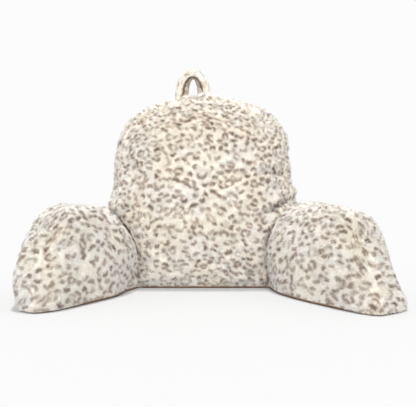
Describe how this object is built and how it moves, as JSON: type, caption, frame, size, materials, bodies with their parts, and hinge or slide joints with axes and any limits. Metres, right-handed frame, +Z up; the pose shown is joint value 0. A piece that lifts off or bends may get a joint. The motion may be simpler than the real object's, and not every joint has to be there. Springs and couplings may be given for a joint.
{
  "type": "reading pillow with arms",
  "caption": "Plump back cushion with a rounded top that stands by itself, a stuffed arm at each side reaching forward, and a soft carry loop on top; short printed plush.",
  "frame": {"origin": "on the floor under the middle of the whole pillow", "axes": "+Z up, the front of the back cushion faces -Y, +X to the right of someone who looks at that front"},
  "size_m": [0.7852, 0.5494, 0.5585],
  "materials": {
    "back": "short soft plush, cream with grey-brown animal spots",
    "arm_left": "short soft plush, cream with grey-brown animal spots",
    "arm_right": "short soft plush, cream with grey-brown animal spots",
    "handle": "short soft plush, plain cream",
    "base_back": "plain woven cloth, dark brown",
    "base_arm_left": "plain woven cloth, dark brown",
    "base_arm_right": "plain woven cloth, dark brown"
  },
  "bodies": {
    "root": {"back": "back", "arm_left": "arm_left", "arm_right": "arm_right", "handle": "handle", "base_back": "base_back", "base_arm_left": "base_arm_left", "base_arm_right": "base_arm_right"}
  },
  "joints": []
}
